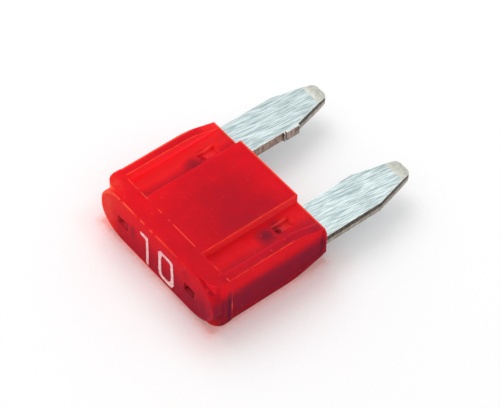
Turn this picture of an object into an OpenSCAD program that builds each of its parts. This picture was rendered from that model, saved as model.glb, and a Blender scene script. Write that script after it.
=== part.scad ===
// Small automotive blade fuse: a one-piece moulded translucent housing on a one-piece
// stamped element with two tapered blades, lying on its broad face.
// X runs across the blades, Y along them with the tips at the far end, Z is up.
// The origin is at the bottom centre of the bounding box.

/* [Overall] */
// Length from the face of the head to the blade tips
total_len = 16.3; // [15.2:0.1:17.6]
// Thickness of the housing over its shoulder and rails
body_t = 3.9; // [3.6:0.1:4.6]
// How far each narrow side stands outside the outer edges of the blades
side_over = 0; // [0:0.05:0.35]

/* [Blades] */
// Length of blade outside the housing
blade_out = 7.55; // [6.6:0.05:8.2]
// Width of each blade
blade_w = 2.8; // [2.6:0.05:2.9]
// Thickness of the sheet that the element is stamped from
blade_t = 0.8; // [0.6:0.05:0.9]
// Distance between the centre lines of the blades
blade_pitch = 8.1; // [8:0.05:8.2]
// Length over which each blade tapers towards its tip
taper_len = 3.1; // [2.4:0.1:3.4]
// Width of the tapered end where its corners begin
tip_w = 1.45; // [1.2:0.05:1.8]
// Radius of the corners of each tip
tip_r = 0.42; // [0.3:0.02:0.5]
// Length of the coined bevel at each tip
coin_len = 0.9; // [0.5:0.02:1]
// Thickness taken from each face by the bevel at the very tip
coin_drop = 0.1; // [0.06:0.01:0.2]

/* [Sheared ties] */
// Length of the sheared tie left on the inner edge of each blade
tie_len = 1.05; // [0.8:0.05:1.3]
// Distance from the tips to the near end of the sheared ties
tie_back = 3.0; // [2.7:0.05:3.4]
// How far the tie stands out from the left blade
tie_out_left = 0.15; // [0.1:0.01:0.2]
// How far the tie stands out from the right blade
tie_out_right = 0.05; // [0.04:0.01:0.1]
// Width of the burr beside the left tie, and of the gap between the two
burr_w = 0.09; // [0.07:0.01:0.12]

/* [Housing body] */
// Width of the channels between the centre panel and the rails
channel_w = 2.03; // [1.9:0.01:2.1]
// Depth of the channels beside the panel
channel_depth = 0.7; // [0.5:0.02:0.8]
// Width of the rail along each narrow side
rail_w = 0.64; // [0.5:0.02:0.9]
// Length of the slope by which a rail drops to the channel floor at the lip
ramp_len = 2.2; // [1.8:0.05:2.6]
// Radius of the curve where that slope begins
ramp_r = 5; // [2:0.5:7]
// How far the lip at the blade end stands out from each side
lip_out = 0.16; // [0.1:0.02:0.24]
// Thickness of the lip at its rim
lip_t = 0.1; // [0.06:0.02:0.2]
// Length of the slope behind the rim
lip_slope = 0.15; // [0.1:0.01:0.3]
// Corner radius of the lip
lip_r = 0.5; // [0.3:0.05:0.7]

/* [Head] */
// Length of the thick shoulder behind the head, from the channels
shoulder_len = 1.11; // [1:0.01:1.3]
// How far the shoulder stands out from each narrow side
shoulder_out = 0.04; // [0.02:0.01:0.08]
// How far the centre panels lie below the shoulder and rails
panel_drop = 0.03; // [0.02:0.01:0.06]
// Radius of the upright corners of the shoulder
shoulder_r = 0.8; // [0.6:0.05:1]
// How far the oval head stands out from the shoulder
head_out = 0.27; // [0.2:0.01:0.4]
// Rounding of the head's front edge
head_round = 0.1; // [0.06:0.02:0.2]
// Depth of the head's oval, from its face
head_depth = 0.72; // [0.6:0.02:0.9]
// Length of each round end of the head's oval
head_end = 2.4; // [2:0.05:2.8]
// Fullness of those ends, from 2 for an ellipse up towards a rectangle
head_full = 2.3; // [2:0.1:3]
// How far the oval stands out from each narrow side
head_over = 0.12; // [0.06:0.02:0.2]

/* [Test windows] */
// How far each test window lies inside its blade's centre line
window_in = 0.76; // [0.6:0.02:0.9]
// Width of each test window
window_w = 1.02; // [0.9:0.02:1.1]
// Height of each test window
window_h = 0.7; // [0.56:0.02:0.76]
// How far the windows lie below the middle of the head
window_drop = 0.1; // [0:0.02:0.14]
// Thickness of plastic in front of the test tabs
window_lip = 0.35; // [0.25:0.05:0.45]

/* [Inside the housing] */
// Thickness of the narrow side walls outside the element
side_wall = 0.42; // [0.34:0.02:0.46]
// Gap between the element and the slots that hold it
slot_gap = 0.06; // [0.04:0.01:0.08]
// Thickness of the wall over the link
cavity_roof = 0.7; // [0.5:0.05:0.8]
// Thickness of the wall at each side of the link
cavity_side = 0.5; // [0.4:0.05:0.6]
// Plastic between the inner end of the slots and the channels' end
slot_back = 0.35; // [0.3:0.05:0.5]

/* [Staking] */
// How far each stake lies inside its blade's centre line
stake_in = 0.39; // [0.2:0.01:0.5]
// Distance of the stakes from the lip face
stake_y = 2.2; // [2:0.05:2.6]
// Width of each staked pocket
pocket_w = 0.68; // [0.5:0.02:0.8]
// Length of each staked pocket
pocket_len = 1.3; // [1.1:0.05:1.5]
// Depth of each staked pocket
pocket_depth = 0.3; // [0.2:0.02:0.36]
// Diameter of the punch mark in each pocket
punch_d = 0.52; // [0.4:0.02:0.6]
// Depth of the punch mark from the channel floor
punch_depth = 0.56; // [0.46:0.02:0.6]
// Diameter of the pips pressed into the element
pip_d = 0.7; // [0.5:0.02:0.8]
// Diameter of the staking holes in the element
stake_hole_d = 1.0; // [0.96:0.02:1.2]
// Gap between the two pips that meet in a hole
pip_gap = 0.3; // [0.2:0.02:0.4]

/* [Fusible link] */
// Width of the link strip
link_w = 0.5; // [0.4:0.02:0.6]
// Thickness of the link after skiving
link_t = 0.3; // [0.2:0.02:0.4]
// Mean radius of the two bends of the link
link_r = 0.75; // [0.65:0.05:0.85]
// Gap between the bends of the link and the side walls of their cavity
link_gap = 0.43; // [0.3:0.01:0.6]
// Distance of the link's middle from the lip face
link_y = 3.7; // [3.4:0.05:3.9]
// Width of the neck at which the link melts
neck_w = 0.28; // [0.2:0.02:0.34]
// Length of that neck
neck_len = 0.6; // [0.4:0.05:0.7]
// Width of the test tab at the inner end of each leg
tab_w = 0.9; // [0.8:0.02:0.9]
// Length by which the legs stop short of the slot ends
leg_gap = 0.1; // [0.06:0.02:0.2]

/* [Hidden] */
$fn = 64;
housing_red = [0.88, 0.11, 0.15];
zinc_grey = [0.78, 0.81, 0.81];
// Overlap that makes cuts run past a face and joined solids share volume
bite = 0.2;
// Segments of each arc in an outline
arc_steps = 12;
// Steps of the rounding on the head's front edge
round_steps = 4;
// Segments of each round end of the head
oval_steps = 24;
skin = 0.01;

blade_x = blade_pitch / 2;
half_w = blade_x + blade_w / 2 + side_over;
body_w = 2 * half_w;
mid_z = body_t / 2;
tip_y = total_len / 2;
lip_y = tip_y - blade_out;
face_y = -total_len / 2;
shoulder_y = face_y + head_out;
channel_y = shoulder_y + shoulder_len;
flank_half = mid_z - channel_depth;
rail_in = half_w - rail_w;
panel_half = rail_in - channel_w;
window_x = blade_x - window_in;
stake_x = blade_x - stake_in;
leg_in = blade_x - blade_w / 2;
slot_half_w = half_w - side_wall;
leg_out = slot_half_w - slot_gap;
slot_half_t = blade_t / 2 + slot_gap;
slot_end = channel_y + slot_back;
leg_end = slot_end + leg_gap;
tab_end = face_y + window_lip + slot_gap;
stake_at = lip_y - stake_y;
cavity_half_w = panel_half - cavity_side;
link_reach = cavity_half_w - link_gap - link_r - link_w / 2;
cavity_half_t = mid_z - panel_drop - cavity_roof;
// The side step of the shoulder starts a little nearer the blades than the channels' end
shoulder_lap = 0.13;

// Points of an arc from angle a0 to a1 about a centre
function arc(cx, cy, r, a0, a1) =
    [for (i = [0 : arc_steps])
        let (a = a0 + (a1 - a0) * i / arc_steps)
        [cx + r * cos(a), cy + r * sin(a)]];

module housing() {
    color(housing_red)
    difference() {
        union() {
            housing_shell();
            stake_pips();
        }
        for (side = [-1, 1]) {
            test_window(side);
            for (face = [-1, 1]) {
                staked_pocket(side, face);
            }
        }
    }
}

// Everything moulded, with the space for the element taken out
module housing_shell() {
    difference() {
        union() {
            flank_slab();
            centre_panel();
            end_lip();
            for (side = [-1, 1]) {
                side_rail(side);
            }
            shoulder();
            oval_head();
        }
        element_space();
    }
}

module flank_slab() {
    translate([-half_w, channel_y - bite, mid_z - flank_half])
        cube([body_w, lip_y - channel_y + bite, 2 * flank_half]);
}

module centre_panel() {
    translate([-panel_half, channel_y - bite, panel_drop])
        cube([2 * panel_half, lip_y - channel_y + bite, body_t - 2 * panel_drop]);
}

// A rectangle centred on the origin with round corners, as true arcs
module round_rect(w, h, r) {
    square([w - 2 * r, h], center = true);
    square([w, h - 2 * r], center = true);
    for (sx = [-1, 1], sy = [-1, 1]) {
        translate([sx * (w / 2 - r), sy * (h / 2 - r)])
            circle(r);
    }
}

// The lip slopes out from both sides to a thin rim and has round corners
module end_lip() {
    rim = half_w + lip_out;
    rim_y = lip_y - lip_t;
    intersection() {
        translate([0, lip_y, mid_z])
            rotate([90, 0, 0])
                linear_extrude(lip_t + lip_slope)
                    round_rect(2 * rim, 2 * flank_half, lip_r);
        linear_extrude(body_t)
            polygon([
                [-rim, lip_y], [-rim, rim_y], [-half_w, rim_y - lip_slope],
                [half_w, rim_y - lip_slope], [rim, rim_y], [rim, lip_y]
            ]);
    }
}

// Side view of a rail: full thickness along the housing, sloping in towards the lip
module rail_side_view() {
    back = channel_y - bite;
    slope = atan(channel_depth / ramp_len);
    bend_y = lip_y - ramp_len - ramp_r * tan(slope / 2);
    for (face = [0, 1]) {
        translate([0, mid_z])
            mirror([0, face])
                polygon(concat(
                    [[back, -bite], [back, mid_z]],
                    arc(bend_y, mid_z - ramp_r, ramp_r, 90, 90 - slope),
                    [[lip_y, flank_half], [lip_y, -bite]]
                ));
    }
}

module side_rail(side) {
    inner = side > 0 ? rail_in : -half_w;
    translate([inner, 0, 0])
        rotate([90, 0, 90])
            linear_extrude(rail_w)
                rail_side_view();
}

// Plan of the shoulder, with its two front corners rounded
module shoulder_plan() {
    w = half_w + shoulder_out;
    back = channel_y + shoulder_lap;
    corner_y = shoulder_y + shoulder_r;
    polygon(concat(
        arc(-w + shoulder_r, corner_y, shoulder_r, 180, 270),
        arc(w - shoulder_r, corner_y, shoulder_r, 270, 360),
        [[w, back], [-w, back]]
    ));
}

// The shoulder laps the channels' end by a hair only at the narrow sides
module shoulder() {
    difference() {
        linear_extrude(body_t)
            shoulder_plan();
        for (face = [0, 1]) {
            translate([-rail_in, channel_y, face ? body_t - channel_depth : -bite])
                cube([2 * rail_in, shoulder_lap + bite, channel_depth + bite]);
        }
    }
}

// A sine or cosine made larger by the fullness of the head's ends
function fuller(v) = sign(v) * pow(abs(v), 2 / head_full);

// Outline of the head's oval, drawn in by an inset
function oval(inset) =
    let (rx = head_end - inset, rz = mid_z - inset,
         cx = half_w + head_over - head_end)
    concat(
        [for (i = [0 : oval_steps])
            let (a = -90 + 180 * i / oval_steps)
            [cx + rx * fuller(cos(a)), rz * fuller(sin(a))]],
        [for (i = [0 : oval_steps])
            let (a = 90 + 180 * i / oval_steps)
            [-cx + rx * fuller(cos(a)), rz * fuller(sin(a))]]
    );

// The oval head, level with the shoulder and rounded at its front edge
module oval_head() {
    translate([0, face_y + head_depth, mid_z])
        rotate([90, 0, 0])
            linear_extrude(head_depth - head_round)
                polygon(oval(0));
    hull() {
        for (i = [0 : round_steps]) {
            a = 90 * i / round_steps;
            translate([0, face_y + head_round * (1 - cos(a)) + skin, mid_z])
                rotate([90, 0, 0])
                    linear_extrude(skin)
                        polygon(oval(head_round * (1 - sin(a))));
        }
    }
}

// The slots for the legs, the cavity round the link and the channels of the test tabs
module element_space() {
    mouth = lip_y + bite;
    translate([-slot_half_w, slot_end, mid_z - slot_half_t])
        cube([2 * slot_half_w, mouth - slot_end, 2 * slot_half_t]);
    translate([-cavity_half_w, slot_end, mid_z - cavity_half_t])
        cube([2 * cavity_half_w, mouth - slot_end, 2 * cavity_half_t]);
    for (side = [-1, 1]) {
        translate([side * window_x - window_w / 2, face_y + window_lip, mid_z - slot_half_t])
            cube([window_w, slot_end + bite - face_y - window_lip, 2 * slot_half_t]);
    }
}

module test_window(side) {
    translate([side * window_x - window_w / 2, face_y - bite,
               mid_z - window_drop - window_h / 2])
        cube([window_w, window_lip + 2 * bite, window_h]);
}

// Pips that staking has pressed from both walls into the element's holes
module stake_pips() {
    length = slot_half_t - pip_gap / 2 + bite;
    for (side = [-1, 1], face = [-1, 1]) {
        translate([side * stake_x, stake_at, mid_z + face * pip_gap / 2])
            mirror([0, 0, face < 0 ? 1 : 0])
                cylinder(h = length, d = pip_d);
    }
}

// The pocket and punch mark that the staking tool leaves in a channel floor
module staked_pocket(side, face) {
    deep_end = stake_at - punch_d / 2 - (pocket_w - punch_d) / 2;
    floor_z = mid_z + face * flank_half;
    translate([side * stake_x - pocket_w / 2, deep_end,
               face > 0 ? floor_z - pocket_depth : floor_z - bite])
        cube([pocket_w, pocket_len, pocket_depth + bite]);
    translate([side * stake_x, stake_at, face > 0 ? floor_z - punch_depth : floor_z - bite])
        cylinder(h = punch_depth + bite, d = punch_d);
}

// Outline of one blade and its leg, on the right side, seen from above
module leg_outline(tie_out) {
    outer = blade_x + blade_w / 2;
    taper_y = tip_y - taper_len;
    corner_y = tip_y - tip_r;
    tie_end = tip_y - tie_back;
    // The tapered flanks aim at the corner circles
    corner_in = blade_x - tip_w / 2 + tip_r;
    corner_out = blade_x + tip_w / 2 - tip_r;
    lean = atan((blade_w - tip_w) / 2 / taper_len);
    polygon(concat(
        [[leg_in, leg_end], [leg_out, leg_end], [leg_out, lip_y + slot_gap],
         [outer, lip_y + slot_gap], [outer, taper_y]],
        arc(corner_out, corner_y, tip_r, lean, 90),
        arc(corner_in, corner_y, tip_r, 90, 180 - lean),
        [[leg_in, taper_y]]
    ));
    translate([leg_in - tie_out, tie_end - tie_len])
        square([tie_out + bite, tie_len]);
    translate([window_x - tab_w / 2, tab_end])
        square([tab_w, leg_end - tab_end + skin]);
}

// Side view of a leg, flat but for the coined bevels at the tip
module leg_side_view() {
    half_t = blade_t / 2;
    coin_y = tip_y - coin_len;
    back = tab_end - bite;
    polygon([
        [back, mid_z - half_t], [coin_y, mid_z - half_t],
        [tip_y, mid_z - half_t + coin_drop], [tip_y, mid_z + half_t - coin_drop],
        [coin_y, mid_z + half_t], [back, mid_z + half_t]
    ]);
}

module leg(tie_out) {
    difference() {
        intersection() {
            linear_extrude(body_t)
                leg_outline(tie_out);
            rotate([90, 0, 90])
                linear_extrude(body_w)
                    leg_side_view();
        }
        translate([stake_x, stake_at, 0])
            cylinder(h = body_t, d = stake_hole_d);
    }
}

// The thin fin of metal that shearing left beside the left tie
module tie_burr() {
    fin_y = tip_y - tie_back - tie_len - 2 * burr_w;
    translate([-leg_in - skin, fin_y, mid_z - blade_t / 2])
        cube([tie_out_left + skin, burr_w, blade_t]);
}

// One side of the link's S; the other side is its half turn
function link_side(end_x) =
    let (r = link_r, half = link_w / 2)
    concat(
        [[-end_x, half - 2 * r]],
        arc(link_reach, -r, r - half, -90, 90),
        arc(-link_reach, r, r + half, -90, -270),
        [[end_x, half + 2 * r]]
    );

// The skived link, notched from both sides to the neck at its middle
module fusible_link() {
    one_side = link_side(leg_in + bite);
    notch = link_w - neck_w;
    translate([0, lip_y - link_y, mid_z - link_t / 2])
        linear_extrude(link_t)
            difference() {
                polygon(concat(one_side, [for (p = one_side) [-p[0], -p[1]]]));
                for (side = [-1, 1]) {
                    translate([0, side * (neck_w + notch) / 2])
                        square([neck_len, notch], center = true);
                }
            }
}

module fuse_element() {
    color(zinc_grey)
    union() {
        leg(tie_out_right);
        mirror([1, 0, 0])
            leg(tie_out_left);
        tie_burr();
        fusible_link();
    }
}

housing();
fuse_element();
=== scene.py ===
import math

import bmesh
import bpy
from mathutils import Matrix, Vector, noise


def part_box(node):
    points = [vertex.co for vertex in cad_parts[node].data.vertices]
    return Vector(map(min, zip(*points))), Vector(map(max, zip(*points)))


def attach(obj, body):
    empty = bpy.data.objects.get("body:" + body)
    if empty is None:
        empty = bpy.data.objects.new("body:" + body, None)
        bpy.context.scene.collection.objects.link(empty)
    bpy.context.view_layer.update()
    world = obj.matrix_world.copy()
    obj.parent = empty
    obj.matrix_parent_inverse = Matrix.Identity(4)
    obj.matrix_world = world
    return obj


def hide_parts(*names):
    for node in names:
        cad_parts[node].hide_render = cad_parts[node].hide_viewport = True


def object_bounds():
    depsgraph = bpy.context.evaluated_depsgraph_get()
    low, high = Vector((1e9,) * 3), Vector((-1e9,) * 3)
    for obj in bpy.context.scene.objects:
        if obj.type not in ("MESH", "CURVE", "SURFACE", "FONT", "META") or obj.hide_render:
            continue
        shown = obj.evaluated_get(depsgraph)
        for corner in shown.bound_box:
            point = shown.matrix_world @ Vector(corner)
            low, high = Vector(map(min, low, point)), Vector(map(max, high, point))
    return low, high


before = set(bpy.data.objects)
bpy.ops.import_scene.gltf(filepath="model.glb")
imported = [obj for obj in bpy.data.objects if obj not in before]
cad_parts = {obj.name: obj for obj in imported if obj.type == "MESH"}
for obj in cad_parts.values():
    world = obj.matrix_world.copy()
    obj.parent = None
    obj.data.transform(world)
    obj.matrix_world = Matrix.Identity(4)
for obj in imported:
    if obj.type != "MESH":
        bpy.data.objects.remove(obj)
cad_low, cad_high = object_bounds()

MM = 0.001
# Main places of the part in millimetres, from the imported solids
FACE_Y = cad_low.y / MM
TIP_Y = cad_high.y / MM
LIP_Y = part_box("housing")[1].y / MM
MID_Z = cad_high.z / MM / 2
# Places that the solids' boxes don't give, as part.scad has them
STEP_Y = FACE_Y + 1.51
PANEL_END_Y = FACE_Y + 1.38
HALF_W = 5.45
RAIL_IN = 4.81
PANEL_HALF = 2.78
# The head's oval: half its straight part, the length and the fullness of its ends
HEAD_STRAIGHT = 3.17
HEAD_END = 2.4
HEAD_FULL = 2.3
# Middles of the test windows and stakes, where the coined tips start, and the sheared ties
WINDOW_X = 3.29
WINDOW_Z = 1.85
STAKE_X = 3.66
STAKE_Y = LIP_Y - 2.2
COIN_Y = TIP_Y - 0.9
TIE_Y = TIP_Y - 3.0


def srgb(r, g, b):
    """A colour written as 0 to 255, as linear values with alpha."""

    def lin(c):
        c = c / 255
        return c / 12.92 if c <= 0.04045 else ((c + 0.055) / 1.055) ** 2.4

    return (lin(r), lin(g), lin(b), 1.0)


class Shader:
    """A material with short calls for making and linking its nodes."""

    def __init__(self, name):
        self.mat = bpy.data.materials.new(name)
        self.mat.use_nodes = True
        self.tree = self.mat.node_tree
        self.tree.nodes.clear()
        self.out = self.tree.nodes.new("ShaderNodeOutputMaterial")
        coord = self.tree.nodes.new("ShaderNodeTexCoord")
        scale = self.tree.nodes.new("ShaderNodeVectorMath")
        scale.operation = "SCALE"
        scale.inputs["Scale"].default_value = 1 / MM
        self.link(coord.outputs["Object"], scale.inputs[0])
        # Object coordinates in millimetres
        self.pos = scale.outputs[0]
        split = self.tree.nodes.new("ShaderNodeSeparateXYZ")
        self.link(self.pos, split.inputs[0])
        self.x, self.y, self.z = split.outputs
        face = self.tree.nodes.new("ShaderNodeSeparateXYZ")
        self.link(coord.outputs["Normal"], face.inputs[0])
        self.nx, self.ny, self.nz = face.outputs

    def link(self, a, b):
        self.tree.links.new(a, b)

    def put(self, value, socket):
        if isinstance(value, (int, float, tuple)):
            socket.default_value = value
        else:
            self.link(value, socket)

    def math(self, op, a, b=0.0, c=0.0):
        n = self.tree.nodes.new("ShaderNodeMath")
        n.operation = op
        self.put(a, n.inputs[0])
        self.put(b, n.inputs[1])
        self.put(c, n.inputs[2])
        return n.outputs[0]

    def times(self, first, *rest):
        for other in rest:
            first = self.math("MULTIPLY", first, other)
        return first

    def total(self, first, *rest):
        for other in rest:
            first = self.math("ADD", first, other)
        return first

    def smooth(self, value, low, high, to_low=0.0, to_high=1.0):
        """Goes smoothly from to_low at low to to_high at high."""
        n = self.tree.nodes.new("ShaderNodeMapRange")
        n.interpolation_type = "SMOOTHSTEP"
        self.put(value, n.inputs["Value"])
        n.inputs["From Min"].default_value = low
        n.inputs["From Max"].default_value = high
        n.inputs["To Min"].default_value = to_low
        n.inputs["To Max"].default_value = to_high
        return n.outputs[0]

    def near(self, value, centre, half, to=1.0):
        """Is to at the centre, and falls smoothly to 0 at a distance of half from it."""
        off = self.math("ABSOLUTE", self.math("SUBTRACT", value, centre))
        return self.smooth(off, 0.0, half, to, 0.0)

    def spot(self, cx, half_x, cy, half_y, to=1.0, across=None, along=None):
        """A soft patch round a place, on x and y unless other coordinates are given."""
        return self.times(
            self.near(across or self.x, cx, half_x, to), self.near(along or self.y, cy, half_y)
        )

    def brushing(self, across, along):
        """Position drawn out along the blades, a little askew to them."""
        v = self.tree.nodes.new("ShaderNodeCombineXYZ")
        askew = self.math("MULTIPLY_ADD", self.y, -0.12, self.x)
        self.link(self.times(askew, across), v.inputs[0])
        self.link(self.times(self.y, along), v.inputs[1])
        self.link(self.times(self.z, across), v.inputs[2])
        return v.outputs[0]

    def stretch(self, x, y, z):
        n = self.tree.nodes.new("ShaderNodeVectorMath")
        n.operation = "MULTIPLY"
        self.link(self.pos, n.inputs[0])
        n.inputs[1].default_value = (x, y, z)
        return n.outputs[0]

    def noise(self, scale, detail=3.0, rough=0.5, vector=None):
        n = self.tree.nodes.new("ShaderNodeTexNoise")
        self.link(vector or self.pos, n.inputs["Vector"])
        n.inputs["Scale"].default_value = scale
        n.inputs["Detail"].default_value = detail
        n.inputs["Roughness"].default_value = rough
        return n.outputs["Fac"]

    def mix(self, fac, a, b):
        n = self.tree.nodes.new("ShaderNodeMix")
        n.data_type = "RGBA"
        n.clamp_factor = True
        self.put(fac, n.inputs["Factor"])
        self.put(a, n.inputs["A"])
        self.put(b, n.inputs["B"])
        return n.outputs["Result"]

    def blend(self, fac, a, b):
        """The number a where fac is 0, and b where it is 1."""
        n = self.tree.nodes.new("ShaderNodeMix")
        self.link(fac, n.inputs["Factor"])
        self.link(a, n.inputs["A"])
        self.link(b, n.inputs["B"])
        return n.outputs["Result"]

    def ramp(self, value, stops):
        """A colour for a value, from (value, colour) stops."""
        n = self.tree.nodes.new("ShaderNodeValToRGB")
        elements = n.color_ramp.elements
        elements.remove(elements[1])
        elements[0].position, elements[0].color = stops[0]
        for place, colour in stops[1:]:
            elements.new(place).color = colour
        self.put(value, n.inputs["Fac"])
        return n.outputs["Color"]

    def bump(self, height, strength, distance_mm, after=None):
        n = self.tree.nodes.new("ShaderNodeBump")
        n.inputs["Strength"].default_value = strength
        n.inputs["Distance"].default_value = distance_mm * MM
        self.put(height, n.inputs["Height"])
        if after is not None:
            self.link(after, n.inputs["Normal"])
        return n.outputs["Normal"]

    def principled(self, **values):
        n = self.tree.nodes.new("ShaderNodeBsdfPrincipled")
        for key, value in values.items():
            self.put(value, n.inputs[key.replace("_", " ")])
        self.link(n.outputs["BSDF"], self.out.inputs["Surface"])
        return n


# The red of the plastic by tone: 0 deep in shade, 1 where light leaks out of it
PLASTIC_REDS = [
    (0.30, srgb(84, 22, 42)),
    (0.46, srgb(124, 30, 54)),
    (0.62, srgb(166, 30, 50)),
    (0.80, srgb(210, 28, 43)),
    (0.91, srgb(238, 28, 41)),
    (1.00, srgb(255, 38, 43)),
]
# Light that leaves the plastic at its edges, at its end by the lamp, and inside it
LEAK = srgb(255, 96, 66)
LAMP_END = srgb(255, 84, 66)
INNER_RED = (1.0, 0.012, 0.024, 1.0)


def plastic_tone(s):
    """How much light comes out of the translucent plastic at each place."""
    up = s.smooth(s.nz, 0.4, 0.8)
    front = s.smooth(s.ny, -0.4, -0.8)
    outer = s.smooth(s.nx, 0.5, 0.8)
    sideways = s.smooth(s.math("ABSOLUTE", s.nx), 0.4, 0.8)
    # Painted light and shade: above the element light is thrown back up, below it the element
    # blocks the light and the plastic is painted deep red
    tone = s.smooth(s.z, 1.9, 3.0, 0.49, 0.82)
    tone = s.total(tone, s.times(outer, 0.06))
    # The top is lighter towards the light
    high = s.smooth(s.z, 2.9, 3.3)
    tone = s.total(tone, s.times(s.smooth(s.x, HALF_W, -HALF_W, 0.0, 0.07), high))
    # Painted shade: it is darker over the cavity, where no element lies beneath to throw light
    # back
    hollow = s.spot(1.0, 4.0, -3.6, 3.4, -0.09)
    panel = s.times(up, s.smooth(s.z, 3.4, 3.7))
    tone = s.total(tone, s.times(hollow, panel))
    # Painted light and shade across the panel, the shoulder and the flanks
    tone = s.total(tone, s.times(s.smooth(s.y, -2.0, -6.0, -0.02, 0.02), panel))
    shoulder = s.times(s.smooth(s.y, -6.6, -6.9), s.smooth(s.x, -3.0, 5.5, 0.0, -0.04))
    tone = s.total(tone, s.times(shoulder, panel))
    flanks = s.times(s.smooth(s.math("ABSOLUTE", s.x), 1.0, 2.6), s.smooth(s.y, -6.0, -4.0))
    tone = s.total(tone, s.times(flanks, panel, -0.035))
    # The end wall lets light into the panel
    tone = s.total(tone, s.times(s.smooth(s.y, -1.6, LIP_Y, 0.0, 0.05), up))
    # Painted light and shade on the channel floors, the rails and their walls
    floor = s.times(up, s.smooth(s.z, 3.7, 3.4))
    left = s.times(s.smooth(s.x, 0.5, -0.5), floor)
    right = s.times(s.smooth(s.x, -0.5, 0.5), floor)
    tone = s.total(tone, s.times(s.smooth(s.x, -4.3, -2.9, 0.20, -0.22), left))
    tone = s.total(tone, s.times(s.smooth(s.x, 4.7, 3.6, -0.15, 0.06), right))
    rail = s.times(up, s.smooth(s.x, RAIL_IN - 0.1, RAIL_IN + 0.1), s.smooth(s.y, -7.3, -6.6))
    tone = s.total(tone, s.times(rail, -0.08))
    walls = s.times(sideways, high, s.smooth(s.math("ABSOLUTE", s.x), 5.0, 4.9))
    tone = s.total(tone, s.times(walls, 0.17))
    shut = s.times(s.smooth(s.nx, -0.5, -0.8), s.near(s.x, -PANEL_HALF, 0.2), high, -0.3)
    tone = s.total(tone, shut)
    # The staked pockets: painted shade of the blade's hole seen through the plastic at each
    # pocket, and a soft painted shadow before it
    for side in (-1, 1):
        x = side * STAKE_X
        shade = s.spot(x, 0.85, STAKE_Y - 0.95, 0.95, -0.34 - 0.1 * side)
        mark = s.spot(x - 0.05, 0.85, STAKE_Y - 0.08, 0.7, -0.4 - 0.12 * side)
        mark = s.times(mark, s.smooth(s.z, 3.12, 3.19, 0.55, 1.0))
        shade = s.math("MINIMUM", shade, mark)
        tone = s.total(tone, s.times(shade, s.smooth(s.z, 2.4, 2.7)))
        # Painted light inside each pocket, against its shade
        inside = s.times(s.smooth(s.z, 3.19, 3.12), s.smooth(s.z, 2.5, 2.6))
        inside = s.times(inside, s.near(s.x, x, 0.6), s.smooth(s.y, STAKE_Y - 0.1, STAKE_Y + 0.3))
        tone = s.total(tone, s.times(inside, 0.2))
    # The head's face: bright along its top and at the end nearest the light
    down = s.times(s.smooth(s.z, 3.3, 0.6), s.smooth(s.x, -5.0, -3.5))
    face = s.math("MULTIPLY_ADD", down, -0.24, s.smooth(s.x, -5.6, 5.6, 1.0, 0.82))
    # Shades of the test tabs behind the face
    for cx, cz, rx, rz, dark in (
        (-2.3, 2.0, 0.5, 0.9, 0.17), (3.3, 1.6, 1.0, 0.8, 0.12),
        (2.9, 3.0, 0.6, 0.5, 0.08), (4.6, 1.8, 0.5, 1.2, 0.05),
    ):
        face = s.total(face, s.spot(cx, rx, cz, rz, -dark, along=s.z))
    at_face = s.times(front, s.smooth(s.y, FACE_Y + 0.5, FACE_Y + 0.4))
    tone = s.blend(at_face, tone, face)
    # Light that travels through the plastic comes out inside the windows
    hole = s.times(s.near(s.math("ABSOLUTE", s.x), WINDOW_X, 0.75), s.near(s.z, WINDOW_Z, 0.7),
                   s.smooth(s.y, FACE_Y + 0.02, FACE_Y + 0.1),
                   s.smooth(s.y, FACE_Y + 0.5, FACE_Y + 0.4))
    tone = s.total(tone, s.times(hole, s.smooth(s.x, -1.0, 1.0, 0.5, 0.1)))
    # Painted shade: a dark line at the upright step at the shoulder's end, and a darker head's end
    step = s.times(s.near(s.y, STEP_Y - 0.14, 0.24, -0.16), s.smooth(s.z, 3.1, 2.7))
    end = s.times(s.smooth(s.y, -7.3, -7.6), s.smooth(s.x, 5.1, 5.4),
                  s.smooth(s.z, 2.0, 2.6), -0.1)
    tone = s.total(tone, s.times(outer, step), end)
    # The foot of the narrow side and the slope under it pick up light from the ground
    slope = s.times(s.smooth(s.nz, -0.05, -0.3, 0.0, 0.17), s.smooth(s.y, -3.0, -2.0))
    foot = s.math("MAXIMUM", s.smooth(s.z, 0.8, 0.1, 0.0, 0.1), slope)
    tone = s.total(tone, s.times(s.smooth(s.nx, 0.3, 0.6), foot))
    # Painted shade: its end at the thin lip is darker
    tone = s.total(tone, s.times(s.smooth(s.nx, 0.3, 0.6), s.smooth(s.y, 0.1, 0.5), -0.14))
    # Uneven filling, specks and flow marks
    tone = s.total(tone, s.smooth(s.noise(0.7, 2.0, 0.5), 0.3, 0.7, -0.02, 0.02))
    tone = s.total(tone, s.smooth(s.noise(5.0, 3.0, 0.6), 0.3, 0.7, -0.012, 0.012))
    return tone


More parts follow.
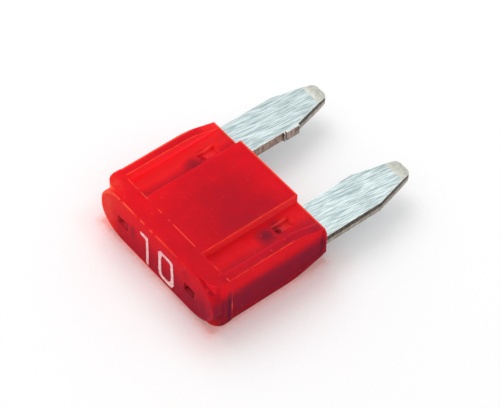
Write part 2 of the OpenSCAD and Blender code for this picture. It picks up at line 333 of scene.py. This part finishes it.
def bright_lines(s):
    """The thin lines along edges and marks at which light leaves the plastic."""
    up = s.smooth(s.nz, 0.6, 0.9)
    above = s.times(up, s.smooth(s.z, 3.7, 3.85))
    body = s.times(above, s.smooth(s.y, STEP_Y - 0.1, STEP_Y + 0.1))
    patchy_highlight = s.smooth(s.noise(1.3, 3.0, 0.6), 0.38, 0.62, 0.25, 1.0)
    dashes = s.smooth(s.noise(1.0, 2.0, 0.6, s.stretch(1.6, 0.1, 0.1)), 0.45, 0.6)
    end = s.times(up, s.smooth(s.y, LIP_Y - 0.14, LIP_Y - 0.08), s.smooth(s.z, 3.0, 3.1), 0.9)
    panel = s.times(body, s.near(s.x, PANEL_HALF - 0.03, 0.07), patchy_highlight, 0.9)
    rail_left = s.times(body, s.near(s.x, -RAIL_IN - 0.03, 0.07), patchy_highlight, 0.9)
    rail_right = s.times(body, s.smooth(s.x, HALF_W - 0.1, HALF_W - 0.02), patchy_highlight,
                         s.smooth(s.y, -1.5, -2.2), 0.7)
    # Painted highlight in dashes along the panel's small end step
    panel_end_glint = s.times(above, s.near(s.y, PANEL_END_Y, 0.06), s.smooth(dashes, 0.3, 0.9, 0.0, 0.9))
    # The head's front edge, broken into dashes that fade to the right
    slant = s.times(s.smooth(s.ny, -0.15, -0.35), s.smooth(s.nz, 0.15, 0.35))
    front = s.times(slant, s.smooth(s.z, 3.5, 3.75), s.smooth(s.x, 4.0, -3.0, 0.1, 1.0), dashes)
    # A glint beside the upright step
    glint = s.times(s.smooth(s.nx, 0.5, 0.8), s.near(s.y, STEP_Y + 0.07, 0.06),
                    s.math("MAXIMUM", s.near(s.z, 1.35, 0.75), s.near(s.z, 1.5, 1.7, 0.4)))
    # The outline towards the lamp, on the rail and round the head's face
    outline = s.times(body, s.smooth(s.x, -HALF_W + 0.17, -HALF_W + 0.1), 0.8)
    behind = s.times(above, s.smooth(s.y, STEP_Y, STEP_Y - 0.1),
                     s.smooth(s.x, -HALF_W + 0.12, -HALF_W), 0.8)
    outline = s.math("MAXIMUM", outline, behind)
    across = s.math("MAXIMUM", s.math("SUBTRACT", s.math("ABSOLUTE", s.x), HEAD_STRAIGHT), 0.0)
    across = s.math("POWER", s.times(across, 1 / HEAD_END), HEAD_FULL)
    upward = s.math("ABSOLUTE", s.math("MULTIPLY_ADD", s.z, 1 / MID_Z, -1.0))
    upward = s.math("POWER", upward, HEAD_FULL)
    towards = s.math("MAXIMUM", s.smooth(s.z, 2.4, 1.4), s.smooth(s.x, -4.2, -4.8))
    oval = s.times(s.smooth(s.total(across, upward), 0.8, 0.89), towards,
                   s.smooth(s.ny, -0.3, -0.6), s.smooth(s.x, 4.5, -4.0, 0.1, 0.9))
    mask = end
    for line in (panel, rail_left, rail_right, panel_end_glint, front, glint, outline, oval):
        mask = s.math("MAXIMUM", mask, line)
    # The staked pockets catch it along one side and the far end
    for side, x in ((-1, -STAKE_X - 0.34), (1, STAKE_X - 0.34)):
        flat = s.times(s.smooth(s.nz, 0.6, 0.9), s.smooth(s.z, 3.3, 3.25),
                       s.smooth(s.z, 3.1, 3.15))
        along = s.times(s.near(s.x, x - 0.04, 0.06), s.near(s.y, STAKE_Y + 0.55, 0.5))
        across = s.times(s.near(s.x, side * STAKE_X, 0.4), s.near(s.y, STAKE_Y + 1.0, 0.06))
        mask = s.math("MAXIMUM", mask, s.times(s.math("MAXIMUM", along, across), flat, 0.6))
    # So do the upper and inner edges of the windows
    face = s.times(s.smooth(s.ny, -0.6, -0.9), s.smooth(s.y, FACE_Y + 0.1, FACE_Y + 0.05))
    for side in (-1, 1):
        top = s.times(s.near(s.x, side * WINDOW_X, 0.6), s.near(s.z, WINDOW_Z + 0.39, 0.06))
        edge = s.times(s.near(s.x, side * WINDOW_X + 0.55, 0.06), s.near(s.z, WINDOW_Z, 0.4))
        mask = s.math("MAXIMUM", mask, s.times(s.math("MAXIMUM", top, edge), face, 0.7))
    return mask


def red_plastic():
    s = Shader("translucent_red_moulding")
    colour = s.ramp(plastic_tone(s), PLASTIC_REDS)
    # Painted highlights: small bright specks
    glint_specks = s.smooth(s.noise(3.4, 2.0, 0.6), 0.66, 0.76, 0.0, 0.5)
    colour = s.mix(glint_specks, colour, srgb(250, 84, 80))
    # Painted light: walls and hollows, which see each other, are given a paler colour so that they
    # render lighter than their shade leaves them
    pale = s.times(s.smooth(s.math("ABSOLUTE", s.nx), 0.4, 0.8), s.smooth(s.z, 3.1, 3.3),
                   s.smooth(s.math("ABSOLUTE", s.x), 5.0, 4.9))
    beside = s.times(s.smooth(s.nz, 0.4, 0.8), s.smooth(s.z, 3.4, 3.3), s.smooth(s.z, 3.0, 3.1),
                     s.smooth(s.y, FACE_Y + 0.5, FACE_Y + 0.6), 0.15)
    pocket = s.times(s.smooth(s.z, 3.19, 3.12), s.smooth(s.z, 2.5, 2.6),
                     s.near(s.math("ABSOLUTE", s.x), STAKE_X, 0.6),
                     s.near(s.y, STAKE_Y + 0.3, 1.0))
    pocket = s.times(pocket, s.smooth(s.nz, 0.4, 0.8, 1.0, 0.15))
    window = s.times(s.near(s.math("ABSOLUTE", s.x), WINDOW_X, 0.75), s.near(s.z, WINDOW_Z, 0.7),
                     s.smooth(s.y, FACE_Y + 0.02, FACE_Y + 0.1),
                     s.smooth(s.y, FACE_Y + 0.6, FACE_Y + 0.5), s.smooth(s.x, -1.0, 1.0, 0.6, 0.3))
    pale = s.math("MAXIMUM", pale, beside)
    colour = s.mix(s.times(pale, 0.6), colour, srgb(255, 70, 82))
    hollow = s.math("MAXIMUM", pocket, window)
    colour = s.mix(s.times(hollow, 0.85), colour, srgb(255, 136, 150))
    # The head's end nearest the lamp glows, and its outline is the brightest
    near_lamp = s.times(s.smooth(s.x, -3.6, -5.4), s.smooth(s.y, -6.9, -7.6))
    near_lamp = s.times(near_lamp, s.smooth(s.noise(1.6, 3.0, 0.6), 0.35, 0.65, 0.2, 0.8))
    colour = s.mix(near_lamp, colour, LAMP_END)
    rim = s.times(s.smooth(s.nx, -0.15, -0.6), s.smooth(s.y, PANEL_END_Y, -7.1), 0.4)
    colour = s.mix(rim, colour, LAMP_END)
    lines = bright_lines(s)
    colour = s.mix(lines, colour, LEAK)
    fine = s.noise(26.0, 3.0, 0.6)
    normal = s.bump(s.noise(1.4, 2.0, 0.5), 0.2, 0.06)
    normal = s.bump(fine, 0.14, 0.01, normal)
    bsdf = s.principled(
        Base_Color=colour,
        Roughness=s.smooth(fine, 0.3, 0.75, 0.2, 0.34),
        Normal=normal,
    )
    # Painted glow: red light that came in elsewhere leaves through the walls of the hollows, the
    # floors at their feet, the shoulder's front corner, the pockets and windows, and along the
    # bright lines
    wall = s.times(s.smooth(s.math("ABSOLUTE", s.nx), 0.4, 0.8), s.smooth(s.z, 3.1, 3.2),
                   s.smooth(s.math("ABSOLUTE", s.x), 5.0, 4.9),
                   s.smooth(s.z, 3.2, 3.6, 0.3, 0.1), s.smooth(s.x, -1.0, 1.0, 1.0, 0.1))
    foot = s.times(s.smooth(s.nz, 0.4, 0.8), s.smooth(s.z, 3.4, 3.3), s.smooth(s.z, 3.0, 3.1),
                   s.smooth(s.y, FACE_Y + 0.5, FACE_Y + 0.6))
    left_foot = s.smooth(s.x, -4.2, -4.7, 0.0, 0.16)
    right_foot = s.times(s.smooth(s.x, 3.4, 2.9, 0.0, 0.05), s.smooth(s.x, 0.0, 1.0))
    foot = s.times(foot, s.total(left_foot, right_foot))
    corner = s.times(s.smooth(s.ny, -0.4, -0.8), s.smooth(s.y, -7.95, -7.9),
                     s.smooth(s.z, 1.5, 3.2), s.smooth(s.y, -7.5, -7.7), 0.16)
    out = s.total(wall, corner, foot, s.times(hollow, s.smooth(s.x, -1.0, 1.0, 0.3, 0.06)),
                  s.times(lines, 0.15))
    s.link(out, bsdf.inputs["Emission Strength"])
    s.link(s.mix(lines, INNER_RED, LEAK), bsdf.inputs["Emission Color"])
    glowing(bsdf, 1.1)
    return s.mat


def glowing(bsdf, depth_mm):
    """Light spreads through the red plastic, and little of it is mirrored at the surface."""
    bsdf.subsurface_method = "RANDOM_WALK"
    bsdf.inputs["IOR"].default_value = 1.18
    bsdf.inputs["Specular IOR Level"].default_value = 0.03
    bsdf.inputs["Subsurface Weight"].default_value = 1.0
    bsdf.inputs["Subsurface Radius"].default_value = (1.0, 0.1, 0.1)
    bsdf.inputs["Subsurface Scale"].default_value = depth_mm * MM


def red_edge():
    s = Shader("translucent_red_edge")
    colour = s.ramp(s.total(plastic_tone(s), 0.02), PLASTIC_REDS)
    # Light that travels through the plastic leaves it at the edges away from the lamp
    away = s.math("MAXIMUM", s.nx, s.ny)
    leak = s.times(s.smooth(away, 0.25, 0.6), s.smooth(s.nz, 0.2, 0.5), s.smooth(s.z, 2.6, 3.0))
    patchy_highlight = s.smooth(s.noise(2.2, 3.0, 0.6), 0.35, 0.65, 0.35, 0.95)
    # The slope of the right rail and the shoulder's corner hardly show it
    slope = s.times(s.smooth(s.x, 5.2, 5.3), s.smooth(s.y, -2.2, -1.5), s.smooth(s.y, 0.4, 0.3))
    corner = s.smooth(s.y, STEP_Y, STEP_Y - 0.1)
    quiet = s.smooth(s.math("MAXIMUM", slope, corner), 0.0, 1.0, 1.0, 0.12)
    colour = s.mix(s.times(leak, patchy_highlight, quiet), colour, LEAK)
    # The outline towards the lamp is a thin bright line
    rim = s.times(s.smooth(s.nx, -0.2, -0.5), s.smooth(s.math("ABSOLUTE", s.x), RAIL_IN, 5.2),
                  s.smooth(s.z, 2.2, 2.8), 0.9)
    # So are the upper and inner edges of the windows
    at_face = s.times(s.smooth(s.ny, -0.2, -0.4), s.smooth(s.y, FACE_Y + 0.12, FACE_Y + 0.08))
    for side in (-1, 1):
        top = s.times(s.near(s.x, side * WINDOW_X, 0.7), s.near(s.z, WINDOW_Z + 0.36, 0.12))
        edge = s.times(s.near(s.x, side * WINDOW_X + 0.5, 0.12), s.near(s.z, WINDOW_Z, 0.55))
        rim = s.math("MAXIMUM", rim, s.times(s.math("MAXIMUM", top, edge), at_face))
    colour = s.mix(rim, colour, srgb(255, 124, 84))
    bsdf = s.principled(Base_Color=colour, Roughness=0.25)
    bright = s.math("MAXIMUM", s.times(leak, patchy_highlight, quiet), rim)
    s.link(s.times(bright, 0.2), bsdf.inputs["Emission Strength"])
    bsdf.inputs["Emission Color"].default_value = LEAK
    glowing(bsdf, 0.6)
    return s.mat


def lit_red_inside(s, colour):
    """The zinc's colour, red where only the housing's light falls, and how far that is so."""
    inside = s.smooth(s.y, LIP_Y - 0.1, LIP_Y - 0.7)
    deep = s.mix(s.smooth(s.x, -1.0, 1.0), srgb(255, 84, 96), srgb(205, 52, 72))
    return s.mix(inside, colour, deep), inside


def zinc():
    s = Shader("brushed_zinc")
    # Brushing runs nearly along the blades
    streak = s.noise(1.0, 2.0, 0.5, s.brushing(21.0, 0.8))
    fine = s.noise(1.0, 2.0, 0.5, s.brushing(34.0, 1.8))
    broad = s.noise(1.0, 2.0, 0.5, s.stretch(2.2, 0.5, 2.2))
    tone = s.total(s.times(streak, 0.6), s.times(fine, 0.32), s.times(broad, 0.08))
    face = s.mix(s.smooth(tone, 0.38, 0.62), srgb(124, 139, 141), srgb(196, 208, 208))
    # The blade nearer the lamp mirrors a darker part of the room
    face = s.mix(s.smooth(s.x, 1.0, -1.0, 0.0, 0.1), face, srgb(30, 40, 42))
    # Coined tips are pressed smooth, and greyer
    ragged = s.math("MULTIPLY_ADD", s.noise(5.0, 2.0), 0.12, s.y)
    coined = s.smooth(ragged, COIN_Y, COIN_Y + 0.14)
    dents = s.smooth(s.noise(5.0, 3.0), 0.3, 0.7)
    pressed = s.mix(dents, srgb(168, 169, 160), srgb(190, 191, 182))
    face = s.mix(coined, face, pressed)
    # Sheared sides: a burnished band, painted dark as the reflection of a darker part of the room,
    # above a paler broken one
    band_z = s.math("MULTIPLY_ADD", s.noise(2.0, 3.0, 0.6), 0.2, s.z)
    broken = s.smooth(band_z, 2.0, 2.06)
    grain = s.smooth(s.noise(1.0, 3.0, 0.6, s.stretch(5.0, 5.0, 2.0)), 0.35, 0.7)
    pale = s.mix(grain, srgb(150, 139, 126), srgb(184, 172, 160))
    dark = s.mix(grain, srgb(44, 38, 32), srgb(92, 82, 72))
    shear = s.mix(broken, pale, dark)
    # Between the blades the sheared sides are an even brown grey
    between_blades = s.times(s.smooth(s.math("ABSOLUTE", s.x), 2.9, 2.7),
                     s.smooth(s.y, TIE_Y, TIE_Y - 0.5))
    brown = s.mix(grain, srgb(140, 112, 98), srgb(196, 172, 160))
    shear = s.mix(s.times(between_blades, 0.85), shear, brown)
    # Sides that face the lamp are even and light
    sunny = s.smooth(s.nx, -0.2, -0.5)
    shear = s.mix(sunny, shear, srgb(212, 214, 206))
    upright = s.smooth(s.math("ABSOLUTE", s.nz), 0.75, 0.45)
    colour = s.mix(upright, face, shear)
    colour, inside = lit_red_inside(s, colour)
    normal = s.bump(streak, 0.25, 0.01)
    bsdf = s.principled(
        Base_Color=colour,
        Metallic=s.smooth(inside, 0.0, 1.0, 0.8, 0.0),
        Roughness=s.smooth(tone, 0.3, 0.7, 0.3, 0.46),
        Normal=normal,
    )
    lit = s.times(inside, s.smooth(s.x, -1.0, 1.0, 0.25, 0.03))
    s.link(lit, bsdf.inputs["Emission Strength"])
    bsdf.inputs["Emission Color"].default_value = INNER_RED
    return s.mat


def zinc_edge():
    s = Shader("zinc_edge")
    # Painted highlight along the rounded edges, patchy, and darker where they face down
    patchy_highlight = s.smooth(s.noise(4.0, 3.0), 0.35, 0.7)
    colour = s.mix(patchy_highlight, srgb(206, 208, 200), srgb(244, 246, 240))
    under = s.smooth(s.nz, 0.1, -0.3)
    colour = s.mix(under, colour, srgb(120, 108, 98))
    colour, _ = lit_red_inside(s, colour)
    s.principled(Base_Color=colour, Metallic=0.6, Roughness=0.3)
    return s.mat


def print_ink():
    s = Shader("pale_print")
    thin = s.noise(4.5, 3.0, 0.65)
    colour = s.mix(s.smooth(thin, 0.36, 0.66), srgb(240, 160, 178), srgb(255, 236, 228))
    bsdf = s.principled(Base_Color=colour, Roughness=0.5)
    # Red light comes through it from the plastic behind
    bsdf.inputs["Emission Color"].default_value = srgb(255, 150, 150)
    bsdf.inputs["Emission Strength"].default_value = 0.12
    return s.mat


# The white surroundings' light on the part, and what the ground adds for the camera alone
WORLD_LIGHT = 0.66
FLOOR_LIFT = 0.17


def seen_directly(tree):
    """1 for what the camera sees, also mirrored or through glass, and 0 for other light."""
    path = tree.nodes.new("ShaderNodeLightPath")
    seen = path.outputs["Is Camera Ray"]
    for name in ("Is Glossy Ray", "Is Transmission Ray"):
        either = tree.nodes.new("ShaderNodeMath")
        either.operation = "MAXIMUM"
        tree.links.new(seen, either.inputs[0])
        tree.links.new(path.outputs[name], either.inputs[1])
        seen = either.outputs[0]
    return seen


def ground():
    s = Shader("white_ground")
    # Distance from the housing's foot, in millimetres
    middle_y = (FACE_Y + LIP_Y) / 2
    dx = s.math("MAXIMUM", s.math("SUBTRACT", s.math("ABSOLUTE", s.x), HALF_W), 0.0)
    off_y = s.math("ABSOLUTE", s.math("SUBTRACT", s.y, middle_y))
    dy = s.math("MAXIMUM", s.math("SUBTRACT", off_y, (LIP_Y - FACE_Y) / 2), 0.0)
    d = s.math("SQRT", s.total(s.times(dx, dx), s.times(dy, dy)))
    # Paper grain makes the glow's edge uneven
    grain = s.noise(3.2, 4.0, 0.65)
    d = s.total(d, s.smooth(grain, 0.2, 0.8, -0.1, 0.1))
    # Painted red glow on the ground near the housing
    glow = s.total(s.smooth(d, 0.8, -0.2, 0.0, 0.55), s.smooth(d, 2.4, 0.0, 0.0, 0.27))
    # The red light falls further on the shaded side
    shaded = s.times(s.smooth(s.x, 3.0, 5.5), s.smooth(s.y, 0.8, -0.5),
                     s.smooth(d, 3.6, 0.4, 0.0, 0.16))
    glow = s.total(glow, shaded)
    colour = s.mix(glow, srgb(251, 251, 252), srgb(250, 170, 166))
    # Painted contact shadow with red glow along the housing's foot
    colour = s.mix(s.smooth(d, 0.3, -0.1, 0.0, 0.6), colour, srgb(226, 96, 70))
    diffuse = s.tree.nodes.new("ShaderNodeBsdfDiffuse")
    s.link(colour, diffuse.inputs["Color"])
    normal = s.bump(s.noise(4.5, 3.0, 0.6), 0.4, 0.05)
    s.link(normal, diffuse.inputs["Normal"])
    light = s.tree.nodes.new("ShaderNodeEmission")
    s.link(s.times(seen_directly(s.tree), FLOOR_LIFT), light.inputs["Strength"])
    add = s.tree.nodes.new("ShaderNodeAddShader")
    s.link(diffuse.outputs[0], add.inputs[0])
    s.link(light.outputs[0], add.inputs[1])
    s.link(add.outputs[0], s.out.inputs["Surface"])
    return s.mat


# Angles between two faces, in degrees: still flat, an edge to round, and shaded as a crease
FLAT_ANGLE = 0.6
EDGE_ANGLE = 32
CREASE_ANGLE = 50
# Lengths in metres: points this near are one, and a reach this short is none
WELD = 1e-7
NO_REACH = 1e-9


def room_beside(loop):
    """How far a face reaches inwards from the middle of one of its edges."""
    a, b = loop.vert.co, loop.link_loop_next.vert.co
    along = (b - a).normalized()
    inward = loop.face.normal.cross(along)
    middle = (a + b) / 2
    room = math.inf
    for other in loop.face.loops:
        p = other.vert.co - middle
        q = other.link_loop_next.vert.co - middle
        before, after = p.dot(along), q.dot(along)
        if other is loop or (before > 0) == (after > 0):
            continue
        depth = p.lerp(q, before / (before - after)).dot(inward)
        if depth > NO_REACH:
            room = min(room, depth)
    return room


def edges_to_round(bm, width):
    """The sharp outer edges with room for a rounding on both sides."""
    limit = math.radians(EDGE_ANGLE)
    sharp = {
        e
        for e in bm.edges
        if len(e.link_faces) == 2 and e.is_convex and e.calc_face_angle(0.0) > limit
    }
    chosen = {e for e in sharp if min(room_beside(loop) for loop in e.link_loops) > 2.5 * width}
    # A curve's short edges are rounded all together or not at all
    left_out = True
    while left_out:
        left_out = set()
        for e in chosen:
            if e.calc_length() > 3 * width:
                continue
            for v in e.verts:
                on = e.other_vert(v).co - v.co
                for other in v.link_edges:
                    if other in sharp and other not in chosen:
                        back = v.co - other.other_vert(v).co
                        if on.normalized().dot(back.normalized()) > 0.8:
                            left_out.add(e)
        chosen -= left_out
    return [e for e in bm.edges if e in chosen]


def rounded_copy(node, name, width_mm, materials):
    """A copy of a node's solid with its edges rounded, which stands for the node."""
    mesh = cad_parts[node].data.copy()
    mesh.name = name
    mesh.materials.clear()
    for m in materials:
        mesh.materials.append(m)
    bm = bmesh.new()
    bm.from_mesh(mesh)
    bmesh.ops.remove_doubles(bm, verts=bm.verts, dist=WELD)
    bmesh.ops.dissolve_limit(
        bm, angle_limit=math.radians(FLAT_ANGLE), verts=bm.verts, edges=bm.edges
    )
    width = width_mm * MM
    sharp = edges_to_round(bm, width)
    for f in bm.faces:
        f.material_index = 0
    bmesh.ops.bevel(
        bm,
        geom=sharp,
        offset=width,
        offset_type="OFFSET",
        segments=2,
        profile=0.5,
        affect="EDGES",
        clamp_overlap=False,
        loop_slide=False,
        material=1,
    )
    for f in bm.faces:
        f.smooth = True
    crease = math.radians(CREASE_ANGLE)
    for e in bm.edges:
        e.smooth = not (len(e.link_faces) == 2 and e.calc_face_angle(0.0) > crease)
    bm.to_mesh(mesh)
    bm.free()
    obj = bpy.data.objects.new(name, mesh)
    bpy.context.scene.collection.objects.link(obj)
    weighted = obj.modifiers.new("weighted", "WEIGHTED_NORMAL")
    weighted.keep_sharp = True
    weighted.weight = 100
    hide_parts(node)
    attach(obj, "root")
    return obj


ink = print_ink()
housing = rounded_copy("housing", "housing_moulding", 0.05, [red_plastic(), red_edge()])
element = rounded_copy("fuse_element", "zinc_stamping", 0.03, [zinc(), zinc_edge()])


def outline_points(corners, step=0.06, wobble=0.02, seed=0.0):
    """A closed outline in millimetres, cut into short steps with a slightly ragged edge."""
    points = []
    for i, (x0, z0) in enumerate(corners):
        x1, z1 = corners[(i + 1) % len(corners)]
        n = max(1, int(math.hypot(x1 - x0, z1 - z0) / step))
        for k in range(n):
            t = k / n
            x, z = x0 + (x1 - x0) * t, z0 + (z1 - z0) * t
            a = noise.noise(Vector((x * 3.1, z * 3.1, seed)))
            b = noise.noise(Vector((x * 3.1, z * 3.1, seed + 9.0)))
            points.append((x + wobble * a, z + wobble * b))
    return points


def printed(name, outer, inner=None, proud_mm=0.012, sunk_mm=0.02):
    """A thin printed mark on the head's face, from its outline and a hole."""
    curve = bpy.data.curves.new(name + "_outline", "CURVE")
    curve.dimensions = "2D"
    curve.fill_mode = "BOTH"
    for ring in [outer, inner] if inner else [outer]:
        spline = curve.splines.new("POLY")
        spline.points.add(len(ring) - 1)
        for p, (x, z) in zip(spline.points, ring):
            p.co = (x * MM, z * MM, 0, 1)
        spline.use_cyclic_u = True
    curve.extrude = (proud_mm + sunk_mm) / 2 * MM
    flat = bpy.data.objects.new(name + "_outline", curve)
    bpy.context.scene.collection.objects.link(flat)
    bpy.context.view_layer.update()
    mesh = bpy.data.meshes.new_from_object(
        flat.evaluated_get(bpy.context.evaluated_depsgraph_get())
    )
    bpy.data.objects.remove(flat)
    y = (FACE_Y - (proud_mm - sunk_mm) / 2) * MM
    mesh.transform(Matrix(((1, 0, 0, 0), (0, 0, -1, y), (0, 1, 0, 0), (0, 0, 0, 1))))
    mesh.materials.clear()
    mesh.materials.append(ink)
    obj = bpy.data.objects.new(name, mesh)
    bpy.context.scene.collection.objects.link(obj)
    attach(obj, "root")


# The numerals, as corner points across and up the head's face
one = [
    (-1.50, 2.84), (-1.40, 2.88), (-0.74, 2.90), (-0.72, 1.60), (-0.74, 0.42), (-0.80, 0.24),
    (-0.92, 0.30), (-0.98, 0.50), (-0.93, 1.60), (-0.94, 2.40), (-1.02, 2.58), (-1.46, 2.62),
]
zero_outer = [
    (0.48, 2.92), (1.56, 2.92), (1.70, 2.78), (1.74, 2.00), (1.76, 0.72), (1.60, 0.40),
    (1.40, 0.34), (0.52, 0.38), (0.30, 0.56), (0.26, 1.10), (0.30, 1.90), (0.28, 2.66),
]
zero_inner = [
    (0.62, 2.56), (0.54, 2.20), (0.53, 1.60), (0.54, 0.86), (0.66, 0.68), (1.20, 0.66),
    (1.44, 0.86), (1.52, 1.30), (1.50, 1.80), (1.50, 2.50), (1.36, 2.64), (0.76, 2.66),
]
printed("numeral_one", outline_points(one, seed=1.0))
printed("numeral_zero", outline_points(zero_outer, seed=2.0), outline_points(zero_inner, seed=3.0))

bpy.ops.mesh.primitive_plane_add(size=1.2, location=(0, 0, 0))
floor = bpy.context.object
floor.name = "floor"
floor.data.materials.append(ground())

world = bpy.data.worlds.new("studio")
bpy.context.scene.world = world
world.use_nodes = True
tree = world.node_tree
tree.nodes.clear()
world_out = tree.nodes.new("ShaderNodeOutputWorld")
back = tree.nodes.new("ShaderNodeBackground")
back.inputs["Color"].default_value = (1, 1, 1, 1)
level = tree.nodes.new("ShaderNodeMapRange")
level.inputs["To Min"].default_value = WORLD_LIGHT
level.inputs["To Max"].default_value = 1.0
tree.links.new(seen_directly(tree), level.inputs["Value"])
tree.links.new(level.outputs[0], back.inputs["Strength"])
tree.links.new(back.outputs[0], world_out.inputs["Surface"])


def turn_towards(place, target):
    """The turn that points an object's -Z axis from a place to a target, with Y up."""
    return (Vector(target) - Vector(place)).to_track_quat("-Z", "Y")


# A soft lamp to the left of the part and above it
KEY_WATTS = 0.13
KEY_SIZE = 0.17
KEY_AT = (-0.11, 0.03, 0.17)
key_data = bpy.data.lights.new("key", "AREA")
key_data.shape = "DISK"
key_data.size = KEY_SIZE
key_data.energy = KEY_WATTS
key = bpy.data.objects.new("key", key_data)
bpy.context.scene.collection.objects.link(key)
key.location = KEY_AT
key.rotation_euler = turn_towards(key.location, (0, 0, 0)).to_euler()

# The camera stands where the photograph's perspective puts it
CAMERA_AT = Vector((0.070717, -0.059078, 0.112978))
CAMERA_LOOKS_AT = Vector((-0.000887, -0.000129, 0))
CAMERA_ROLL = math.radians(1.09)
camera_data = bpy.data.cameras.new("camera")
camera_data.sensor_fit = "HORIZONTAL"
camera_data.sensor_width = 36.0
camera_data.lens = 168.39
camera_data.clip_start = 0.005
camera_data.clip_end = 10.0
camera = bpy.data.objects.new("camera", camera_data)
bpy.context.scene.collection.objects.link(camera)
turn = turn_towards(CAMERA_AT, CAMERA_LOOKS_AT).to_matrix().to_4x4()
camera.matrix_world = Matrix.Translation(CAMERA_AT) @ turn @ Matrix.Rotation(CAMERA_ROLL, 4, "Z")
bpy.context.scene.camera = camera
bpy.context.scene.view_settings.view_transform = "Standard"
